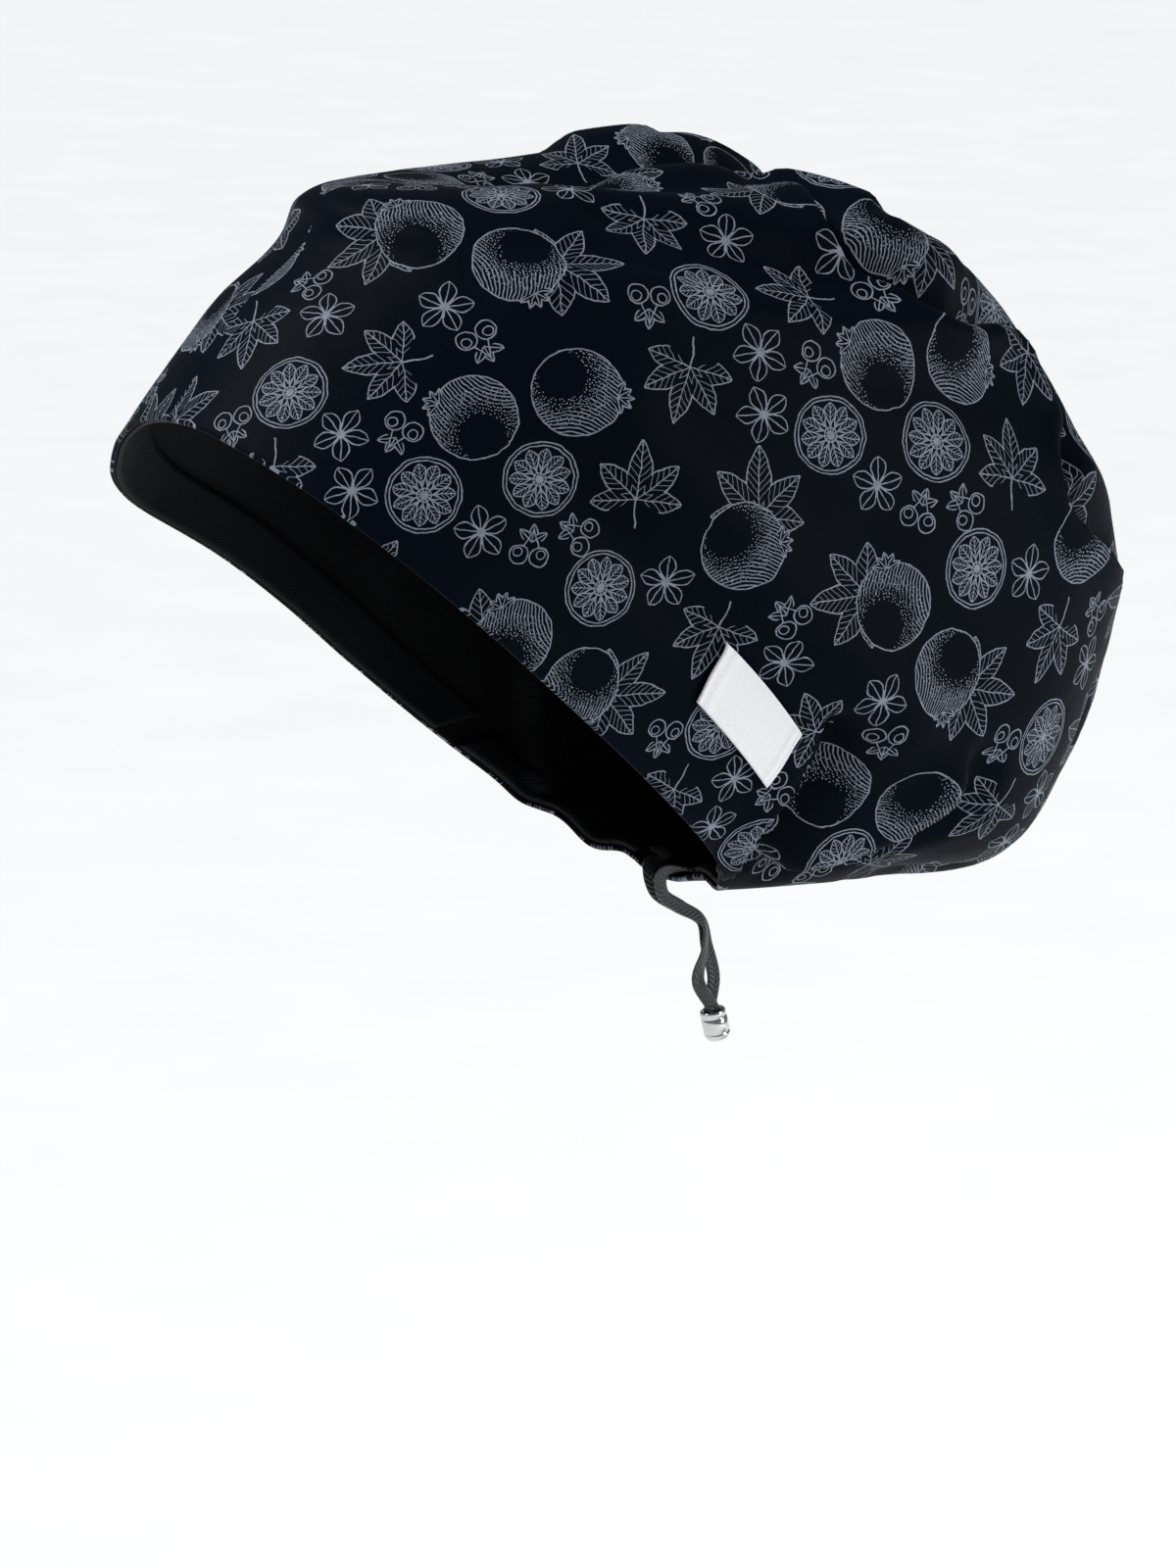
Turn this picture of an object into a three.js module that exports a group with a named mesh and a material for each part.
// Scrub cap with a slouching back pouch, in the form it takes on a head.
// Millimetres, +Z up. The wearer faces -Y and the wearer's left side is +X.
// The origin is the middle of the head opening. The rim slopes from the forehead to the nape.
import * as THREE from "three";

/** Rows of a table as objects with named columns. */
function named(columns, rows) {
  return rows.map((row) => Object.fromEntries(columns.map((name, i) => [name, row[i]])));
}

// Cloth thicknesses and clearances
const WALL = 1.6; // printed cotton over a plain lining
const FACING_WALL = 1.0; // plain facing turned in behind the rim
const CHANNEL_WALL = 2.4; // folded hem with the drawcord flat inside it
const GAP = 0.35; // between pieces that touch on the real cap

// Grid of the crown: columns round the rim, rows from the rim to the top
const COLUMNS = 84;
const ROWS = 25;

// Rim pieces, as columns from the middle front and rows up from the rim
const FACING_END_COLUMN = 27; // the facing stops where the nape channel starts
const FACING_ROWS = 2;
const CHANNEL_START_COLUMN = 28;
const CHANNEL_END_COLUMN = 40; // leaves the mouth open at the middle back
const CHANNEL_ROWS = 2;

// Woven side label. Its corners lie on the crown at these angles and steps, front end first.
const LABEL_THICKNESS = 0.7;
const LABEL_CORNERS = {
  frontHigh: { angle: 90, step: 0.208 },
  frontLow: { angle: 96.5, step: 0.108 },
  backHigh: { angle: 105.5, step: 0.172 },
  backLow: { angle: 114, step: 0.09 },
};
const LABEL_STEPS = { along: 12, across: 5 };
const LABEL_LIFT = 0.6; // clears the flat facets of the crown

// Drawcord, a flat braid, and the metal bead that holds both of its ends
const CORD_WIDTH = 4;
const CORD_THICKNESS = 1.1;
const CORD_CORNER = 0.3;
const CORD_STEPS = 26;
const CORD_SPREAD = 1; // of each strand from the middle plane inside the bead
// Stations of both strands below the rim, from the mouth of the channel to the bead
const HANGING = named(["x", "yLeft", "yRight", "z"], [
  [4.4, 76.8, 76.8, -71],
  [2.2, 77.6, 77.6, -78],
  [1.4, 84.5, 84.5, -83],
  [1.2, 92, 92.5, -88],
  [1.2, 92.6, 94.6, -96],
  [1.2, 90.3, 97, -105.5],
]);
const BEAD_DIAMETER = 7.8;
const BEAD_LENGTH = 9.5;
const BEAD_BORE = 6;
const BEAD_FLOOR = 1.6; // solid metal at the closed lower end
const BEAD_ROUNDING = 1.6;
const BEAD_SIDES = 20;
const BEAD_TOP = new THREE.Vector3(0, 95.8, -114.9);
// From the closed end to the open one
const BEAD_AXIS = new THREE.Vector3(0, -0.24, 0.97).normalize();

// Sections of the crown from the rim to the top. Each is a ring with a front and a back point in
// the middle plane, a half width at its widest place (a share of the way back), a squareness of
// its front and back halves (2 is an ellipse) and a lift of its sides above the middle.
const SECTION_COLUMNS = [
  "step", "frontY", "frontZ", "backY", "backZ", "halfWidth",
  "widest", "frontSquare", "backSquare", "lift",
];
const SECTIONS = named(SECTION_COLUMNS, [
  [0, -80, 73, 80, -73, 77, 0.5, 2.2, 2.7, 0],
  [0.14, -66, 90, 136, -76, 82, 0.48, 2.2, 2.5, 1.4],
  [0.3, -54, 104, 186, -69, 88, 0.53, 2.2, 2.4, 1.6],
  [0.46, -37, 119, 216, -2, 89, 0.55, 2.1, 2.4, 4],
  [0.62, -32, 131, 204, 39, 82, 0.61, 2, 2.4, 2.5],
  [0.78, -13, 134, 173, 89, 60, 0.66, 2, 2.4, 12],
  [0.9, 33, 131, 127, 117, 24, 0.58, 2, 2.3, 14],
  [1, 80, 133, 80, 133, 0, 0.5, 2, 2, 0],
]);

// Folds and soft creases. A route is a list of [angle, step] stations, angle 0 at the middle front
// and 90 on the wearer's left. Depth is how far the trough sinks and width how wide it is; the
// ridge stands beside it at the given offset, to the left of the route's direction if positive.
const FOLD_COLUMNS = ["name", "depth", "width", "ridge", "offset", "route"];
const FOLDS = named(FOLD_COLUMNS, [
  ["left crown fold", 5.5, 12.5, 3, -14, [
    [104, 0.9], [95, 0.775], [96, 0.728], [112, 0.722], [128, 0.72], [131, 0.66], [124, 0.585],
    [127, 0.52], [141, 0.47],
  ]],
  ["right crown fold", 5.5, 12.5, 3, 14, [
    [262, 0.93], [262, 0.82], [262, 0.74], [247, 0.722], [233, 0.72], [230, 0.66], [236, 0.585],
    [231, 0.52], [218, 0.47],
  ]],
  ["left nape fold", 4, 11.5, 1.5, -13, [[103, 0.26], [112, 0.175], [123, 0.11]]],
  ["right nape fold", 4, 11.5, 1.5, 13, [[256, 0.26], [248, 0.175], [237, 0.11]]],
  ["left side crease", 0, 13, 3.5, 0, [[40, 0.6], [69, 0.655], [100, 0.69]]],
  ["right side crease", 0, 13, 3.5, 0, [[318, 0.59], [292, 0.645], [262, 0.68]]],
  ["left side dent", 4, 14, 0, 0, [[48, 0.76], [70, 0.775], [92, 0.79]]],
  ["left pouch bulge", 0, 16, 3.5, 0, [[76, 0.34], [94, 0.297], [108, 0.238], [134, 0.12]]],
  ["right pouch bulge", 0, 16, 3.5, 0, [[284, 0.35], [264, 0.3], [248, 0.23], [227, 0.13]]],
  ["left pouch lower fold", 3, 12, 2.5, -13, [[148, 0.1], [140, 0.16], [127, 0.25]]],
  ["right shoulder", 0, 11, 4.5, 0, [[294, 0.875], [274, 0.89], [254, 0.87]]],
  ["back fold", 4, 13, 2, 16, [[174, 0.74], [184, 0.58], [176, 0.42]]],
  ["lower back fold", 4, 13, 0, 0, [[188, 0.38], [182, 0.24], [188, 0.1]]],
]);
const FOLD_SAMPLES = 70; // points measured along each route
const FOLD_FADE = 0.16; // share of a route over which its fold comes up from nothing

// The rim stands off the right temple, lower than a plain oval would
const TEMPLE_FLARE = { angle: 314, spread: 26, height: 0.13, out: 8, forward: 6, down: 9 };

// Gathers that the drawcord makes along the nape
const GATHERS = { angle: 180, spread: 46, count: 17, height: 0.11, depth: 1.6 };

const radians = THREE.MathUtils.degToRad;

/** A section at any step, on a smooth curve through the rows of SECTIONS. */
function sectionAt(step) {
  const last = SECTIONS.length - 1;
  let row = 0;
  while (row < last - 1 && step > SECTIONS[row + 1].step) row += 1;
  const low = SECTIONS[row];
  const high = SECTIONS[row + 1];
  const span = high.step - low.step;
  const s = (step - low.step) / span;
  const slope = (index, key) => {
    const before = SECTIONS[Math.max(index - 1, 0)];
    const after = SECTIONS[Math.min(index + 1, last)];
    return (after[key] - before[key]) / (after.step - before.step);
  };
  const section = {};
  for (const key of Object.keys(low)) {
    section[key] =
      (2 * s ** 3 - 3 * s ** 2 + 1) * low[key] +
      (s ** 3 - 2 * s ** 2 + s) * span * slope(row, key) +
      (3 * s ** 2 - 2 * s ** 3) * high[key] +
      (s ** 3 - s ** 2) * span * slope(row + 1, key);
  }
  return section;
}

/** The crown without its folds. Angle is in degrees from the middle front, step from 0 to 1. */
function plainCrown(angle, step) {
  const section = sectionAt(step);
  const a = radians(angle);
  const inFront = Math.cos(a) > 0;
  const power = 2 / (inFront ? section.frontSquare : section.backSquare);
  const along = Math.abs(Math.cos(a)) ** power;
  const across = Math.sign(Math.sin(a)) * Math.abs(Math.sin(a)) ** power;
  const { widest } = section;
  const share = inFront ? widest * (1 - along) : widest + (1 - widest) * along;
  const point = new THREE.Vector3(
    Math.max(section.halfWidth, 0) * across,
    THREE.MathUtils.lerp(section.frontY, section.backY, share),
    THREE.MathUtils.lerp(section.frontZ, section.backZ, share) + section.lift * across ** 2,
  );
  const turn = THREE.MathUtils.euclideanModulo(angle - TEMPLE_FLARE.angle + 180, 360) - 180;
  const { spread, height } = TEMPLE_FLARE;
  const flare = Math.exp(-((turn / spread) ** 2) - (step / height) ** 2);
  point.x -= TEMPLE_FLARE.out * flare;
  point.y -= TEMPLE_FLARE.forward * flare;
  point.z -= TEMPLE_FLARE.down * flare;
  return point;
}

/** Outward unit normal of a surface given as a function of angle and step. */
function normalAt(surface, angle, step) {
  const turn = 1.5;
  const rise = 0.01;
  const low = Math.max(step - rise, 0);
  const high = Math.min(step + rise, 0.995);
  const round = surface(angle + turn, step).sub(surface(angle - turn, step));
  const up = surface(angle, high).sub(surface(angle, low));
  return round.cross(up).normalize();
}

/** Points, directions and normals along a fold's route over the plain crown. */
function measuredRoute(fold) {
  const stations = fold.route.map(([angle, step]) => new THREE.Vector3(angle, step, 0));
  const curve = new THREE.CatmullRomCurve3(stations);
  const onCrown = (t) => {
    const { x: angle, y: step } = curve.getPoint(t);
    return { point: plainCrown(angle, step), normal: normalAt(plainCrown, angle, step) };
  };
  const samples = [];
  for (let i = 0; i <= FOLD_SAMPLES; i += 1) {
    const t = i / FOLD_SAMPLES;
    const { point, normal } = onCrown(t);
    const ahead = onCrown(Math.min(t + 0.02, 1)).point;
    const behind = onCrown(Math.max(t - 0.02, 0)).point;
    const left = normal.clone().cross(ahead.sub(behind)).normalize();
    const fade = THREE.MathUtils.smoothstep(Math.min(t, 1 - t), 0, FOLD_FADE);
    samples.push({ point, left, fade });
  }
  return samples;
}
const measuredFolds = FOLDS.map((fold) => ({ ...fold, samples: measuredRoute(fold) }));

/** How far a point of the crown moves out (or, if negative, in) for all the folds. */
function foldHeight(point) {
  let height = 0;
  for (const { samples, depth, width, ridge, offset } of measuredFolds) {
    let nearest = samples[0];
    let least = Infinity;
    for (const sample of samples) {
      const distance = sample.point.distanceToSquared(point);
      if (distance < least) {
        least = distance;
        nearest = sample;
      }
    }
    const away = Math.sqrt(least);
    const side = Math.sign(point.clone().sub(nearest.point).dot(nearest.left)) || 1;
    const trough = Math.exp(-((away / width) ** 2));
    const beside = Math.exp(-(((side * away - offset) / width) ** 2));
    height += nearest.fade * (ridge * beside - depth * trough);
  }
  return height;
}

/** Ripple of the gathered cloth above the nape channel. */
function gatherHeight(angle, step) {
  const { spread, count, height, depth } = GATHERS;
  const turn = angle - GATHERS.angle;
  const within = Math.exp(-((turn / spread) ** 4) - (step / height) ** 2);
  return depth * within * Math.cos(radians(turn) * count);
}

/** The crown with its folds and gathers. */
function foldedCrown(angle, step) {
  const point = plainCrown(angle, step);
  const move = foldHeight(point) + gatherHeight(angle, step);
  return point.addScaledVector(normalAt(plainCrown, angle, step), move);
}

/** The steps that divide the way from the rim to the top evenly at one angle. */
function evenSteps(angle) {
  const fine = 120;
  const lengths = [0];
  for (let i = 1; i <= fine; i += 1) {
    const chord = plainCrown(angle, i / fine).distanceTo(plainCrown(angle, (i - 1) / fine));
    lengths.push(lengths[i - 1] + chord);
  }
  const steps = [];
  let i = 0;
  for (let row = 0; row < ROWS; row += 1) {
    const wanted = (lengths[fine] * row) / ROWS;
    while (lengths[i + 1] < wanted) i += 1;
    steps.push((i + (wanted - lengths[i]) / (lengths[i + 1] - lengths[i])) / fine);
  }
  return steps;
}

/** The crown's grid: outer points and outward normals by row and column, and its top point. */
function crownGrid() {
  const points = Array.from({ length: ROWS }, () => []);
  for (let column = 0; column < COLUMNS; column += 1) {
    const angle = (360 * column) / COLUMNS;
    evenSteps(angle).forEach((step, row) => points[row].push(foldedCrown(angle, step)));
  }
  const top = plainCrown(0, 1);
  const normals = points.map((ring, row) =>
    ring.map((point, column) => {
      const before = ring[(column + COLUMNS - 1) % COLUMNS];
      const round = ring[(column + 1) % COLUMNS].clone().sub(before);
      const above = row + 1 < ROWS ? points[row + 1][column] : top;
      const below = points[Math.max(row - 1, 0)][column];
      return round.cross(above.clone().sub(below)).normalize();
    }),
  );
  return { points, normals, top };
}
const grid = crownGrid();

/** The crown's grid point moved in by a depth. */
function inside(row, column, depth) {
  const wrapped = THREE.MathUtils.euclideanModulo(column, COLUMNS);
  return grid.points[row][wrapped].clone().addScaledVector(grid.normals[row][wrapped], -depth);
}

/** A closed geometry from points and triangles. */
function solid(points, triangles) {
  const geometry = new THREE.BufferGeometry();
  const numbers = points.flatMap((point) => point.toArray());
  geometry.setAttribute("position", new THREE.Float32BufferAttribute(numbers, 3));
  geometry.setIndex(triangles.flat());
  geometry.computeVertexNormals();
  return geometry;
}

/** Two triangles for the corners a, b, c, d of a face, in turn. */
const quad = (a, b, c, d) => [[a, b, c], [a, c, d]];

/** The crown: outer skin, inner skin and the rim's edge between them. */
function crownGeometry() {
  const points = [];
  const at = (skin, row, column) => (skin * ROWS + row) * COLUMNS + (column % COLUMNS);
  for (const depth of [0, WALL]) {
    for (let row = 0; row < ROWS; row += 1) {
      for (let column = 0; column < COLUMNS; column += 1) points.push(inside(row, column, depth));
    }
  }
  const outerTop = points.push(grid.top.clone()) - 1;
  const innerTop = points.push(grid.top.clone().setZ(grid.top.z - WALL)) - 1;
  const triangles = [];
  for (let column = 0; column < COLUMNS; column += 1) {
    const next = column + 1;
    for (let row = 0; row + 1 < ROWS; row += 1) {
      const up = row + 1;
      triangles.push(...quad(at(0, row, column), at(0, row, next), at(0, up, next), at(0, up, column)));
      triangles.push(...quad(at(1, row, next), at(1, row, column), at(1, up, column), at(1, up, next)));
    }
    triangles.push([at(0, ROWS - 1, column), at(0, ROWS - 1, next), outerTop]);
    triangles.push([at(1, ROWS - 1, next), at(1, ROWS - 1, column), innerTop]);
    triangles.push(...quad(at(1, 0, column), at(1, 0, next), at(0, 0, next), at(0, 0, column)));
  }
  return solid(points, triangles);
}

/** A strip that lines the crown's rim between two columns, from one depth to another. */
function liningStrip(firstColumn, lastColumn, rows, nearDepth, farDepth) {
  const across = lastColumn - firstColumn + 1;
  const levels = rows + 1;
  const points = [];
  const at = (skin, row, column) => (skin * levels + row) * across + column;
  for (const depth of [nearDepth, farDepth]) {
    for (let row = 0; row < levels; row += 1) {
      for (let column = 0; column < across; column += 1) {
        points.push(inside(row, firstColumn + column, depth));
      }
    }
  }
  const triangles = [];
  for (let column = 0; column + 1 < across; column += 1) {
    const next = column + 1;
    for (let row = 0; row < rows; row += 1) {
      const up = row + 1;
      triangles.push(...quad(at(0, row, column), at(0, row, next), at(0, up, next), at(0, up, column)));
      triangles.push(...quad(at(1, row, next), at(1, row, column), at(1, up, column), at(1, up, next)));
    }
    triangles.push(...quad(at(1, 0, column), at(1, 0, next), at(0, 0, next), at(0, 0, column)));
    const top = quad(at(0, rows, column), at(0, rows, next), at(1, rows, next), at(1, rows, column));
    triangles.push(...top);
  }
  const end = across - 1;
  for (let row = 0; row < rows; row += 1) {
    triangles.push(...quad(at(1, row, 0), at(0, row, 0), at(0, row + 1, 0), at(1, row + 1, 0)));
    const up = row + 1;
    triangles.push(...quad(at(0, row, end), at(1, row, end), at(1, up, end), at(0, up, end)));
  }
  return solid(points, triangles);
}

/** The woven label: a thin slab that follows the crown just clear of the cloth. */
function labelGeometry() {
  const { along, across } = LABEL_STEPS;
  const { frontHigh, frontLow, backHigh, backLow } = LABEL_CORNERS;
  const mix = (key, u, v) => {
    const high = THREE.MathUtils.lerp(frontHigh[key], backHigh[key], u);
    const low = THREE.MathUtils.lerp(frontLow[key], backLow[key], u);
    return THREE.MathUtils.lerp(high, low, v);
  };
  const points = [];
  for (const height of [LABEL_LIFT, LABEL_LIFT + LABEL_THICKNESS]) {
    for (let j = 0; j <= across; j += 1) {
      for (let i = 0; i <= along; i += 1) {
        const angle = mix("angle", i / along, j / across);
        const step = mix("step", i / along, j / across);
        const point = foldedCrown(angle, step);
        points.push(point.addScaledVector(normalAt(foldedCrown, angle, step), height));
      }
    }
  }
  const width = along + 1;
  const skin = width * (across + 1);
  const at = (side, j, i) => side * skin + j * width + i;
  const triangles = [];
  for (let i = 0; i < along; i += 1) {
    const next = i + 1;
    for (let j = 0; j < across; j += 1) {
      triangles.push(...quad(at(0, j, i), at(0, j, next), at(0, j + 1, next), at(0, j + 1, i)));
      triangles.push(...quad(at(1, j, next), at(1, j, i), at(1, j + 1, i), at(1, j + 1, next)));
    }
    triangles.push(...quad(at(0, 0, next), at(0, 0, i), at(1, 0, i), at(1, 0, next)));
    const edge = quad(at(0, across, i), at(0, across, next), at(1, across, next), at(1, across, i));
    triangles.push(...edge);
  }
  for (let j = 0; j < across; j += 1) {
    triangles.push(...quad(at(0, j, 0), at(0, j + 1, 0), at(1, j + 1, 0), at(1, j, 0)));
    const up = j + 1;
    triangles.push(...quad(at(0, up, along), at(0, j, along), at(1, j, along), at(1, up, along)));
  }
  return solid(points, triangles);
}

/** A path for a flat cord. Its flat side turns from one direction to another along the way. */
class FlatCordPath extends THREE.CatmullRomCurve3 {
  constructor(points, firstFacing, lastFacing) {
    super(points, false, "centripetal");
    this.facing = (t) => {
      const turned = THREE.MathUtils.smoothstep(t, 0.08, 0.3);
      return firstFacing.clone().lerp(lastFacing, turned);
    };
  }

  computeFrenetFrames(segments) {
    const tangents = [];
    const normals = [];
    const binormals = [];
    for (let i = 0; i <= segments; i += 1) {
      const tangent = this.getTangentAt(i / segments);
      const normal = this.facing(i / segments).projectOnPlane(tangent).normalize();
      tangents.push(tangent);
      normals.push(normal);
      binormals.push(tangent.clone().cross(normal));
    }
    return { tangents, normals, binormals };
  }
}

/** A strand of the drawcord, from the end of a nape channel round the rim to the bead. */
function strandGeometry(side) {
  const inBead = (depth) => {
    const point = BEAD_TOP.clone().addScaledVector(BEAD_AXIS, -depth);
    return point.setX(side * CORD_SPREAD);
  };
  const inChannel = (column, share) => {
    const depth = WALL + GAP + CHANNEL_WALL / 2;
    return inside(0, side * column, depth).lerp(inside(1, side * column, depth), share);
  };
  const start = inChannel(CHANNEL_END_COLUMN, 0.45);
  const towardsMouth = inChannel(CHANNEL_END_COLUMN + 1, 0.45).sub(start).normalize();
  start.addScaledVector(towardsMouth, GAP);
  const hanging = HANGING.map(
    ({ x, yLeft, yRight, z }) => new THREE.Vector3(side * x, side > 0 ? yLeft : yRight, z),
  );
  const path = new FlatCordPath(
    [
      start,
      start.clone().addScaledVector(towardsMouth, 6),
      ...hanging,
      inBead(0),
      inBead(BEAD_LENGTH - BEAD_FLOOR - GAP),
    ],
    new THREE.Vector3(0, 0, 1),
    new THREE.Vector3(-side, 0, 0),
  );
  const x = CORD_THICKNESS / 2;
  const y = CORD_WIDTH / 2;
  const corner = CORD_CORNER;
  const section = new THREE.Shape([
    new THREE.Vector2(x, y - corner),
    new THREE.Vector2(x - corner, y),
    new THREE.Vector2(corner - x, y),
    new THREE.Vector2(-x, y - corner),
    new THREE.Vector2(-x, corner - y),
    new THREE.Vector2(corner - x, -y),
    new THREE.Vector2(x - corner, -y),
    new THREE.Vector2(x, corner - y),
  ]);
  return new THREE.ExtrudeGeometry(section, { steps: CORD_STEPS, extrudePath: path });
}

/** The bead: a turned cup with rounded ends, open where the strands enter. */
function beadGeometry() {
  const radius = BEAD_DIAMETER / 2;
  const bore = BEAD_BORE / 2;
  const lip = (radius - bore) / 2;
  const profile = [new THREE.Vector2(0, 0)];
  for (const angle of [0, 30, 60, 90]) {
    const turn = radians(angle);
    const x = radius - BEAD_ROUNDING + BEAD_ROUNDING * Math.sin(turn);
    profile.push(new THREE.Vector2(x, BEAD_ROUNDING * (1 - Math.cos(turn))));
  }
  profile.push(new THREE.Vector2(radius, BEAD_LENGTH - lip));
  profile.push(new THREE.Vector2(radius - lip, BEAD_LENGTH));
  profile.push(new THREE.Vector2(bore, BEAD_LENGTH - lip));
  profile.push(new THREE.Vector2(bore, BEAD_FLOOR));
  profile.push(new THREE.Vector2(0, BEAD_FLOOR));
  const geometry = new THREE.LatheGeometry(profile, BEAD_SIDES);
  const up = new THREE.Vector3(0, 1, 0);
  geometry.applyQuaternion(new THREE.Quaternion().setFromUnitVectors(up, BEAD_AXIS));
  const foot = BEAD_TOP.clone().addScaledVector(BEAD_AXIS, -BEAD_LENGTH);
  return geometry.translate(foot.x, foot.y, foot.z);
}

const CLOTH = { color: "#0b0e14", roughness: 0.85, metalness: 0 };
const FACING = { color: "#08090c", roughness: 0.9, metalness: 0 };
const SATIN = { color: "#eceef1", roughness: 0.5, metalness: 0 };
const BRAID = { color: "#14181d", roughness: 0.75, metalness: 0 };
const POLISHED_STEEL = { color: "#c9ccd0", roughness: 0.15, metalness: 1 };

const channelDepth = WALL + GAP + CHANNEL_WALL;
const facingDepth = WALL + GAP + FACING_WALL;
const facing = liningStrip(
  -FACING_END_COLUMN,
  FACING_END_COLUMN,
  FACING_ROWS,
  WALL + GAP,
  facingDepth,
);
const channel = (first, last) => liningStrip(first, last, CHANNEL_ROWS, WALL + GAP, channelDepth);
const leftChannel = channel(CHANNEL_START_COLUMN, CHANNEL_END_COLUMN);
const rightChannel = channel(-CHANNEL_END_COLUMN, -CHANNEL_START_COLUMN);

const PIECES = [
  { name: "crown", geometry: crownGeometry(), finish: CLOTH },
  { name: "rim_facing", geometry: facing, finish: FACING },
  { name: "nape_channel_left", geometry: leftChannel, finish: FACING },
  { name: "nape_channel_right", geometry: rightChannel, finish: FACING },
  { name: "side_label", geometry: labelGeometry(), finish: SATIN },
  { name: "drawcord_left", geometry: strandGeometry(1), finish: BRAID },
  { name: "drawcord_right", geometry: strandGeometry(-1), finish: BRAID },
  { name: "cord_bead", geometry: beadGeometry(), finish: POLISHED_STEEL },
];

const cap = new THREE.Group();
for (const { name, geometry, finish } of PIECES) {
  const mesh = new THREE.Mesh(geometry, new THREE.MeshStandardMaterial(finish));
  mesh.name = name;
  cap.add(mesh);
}

export default cap;
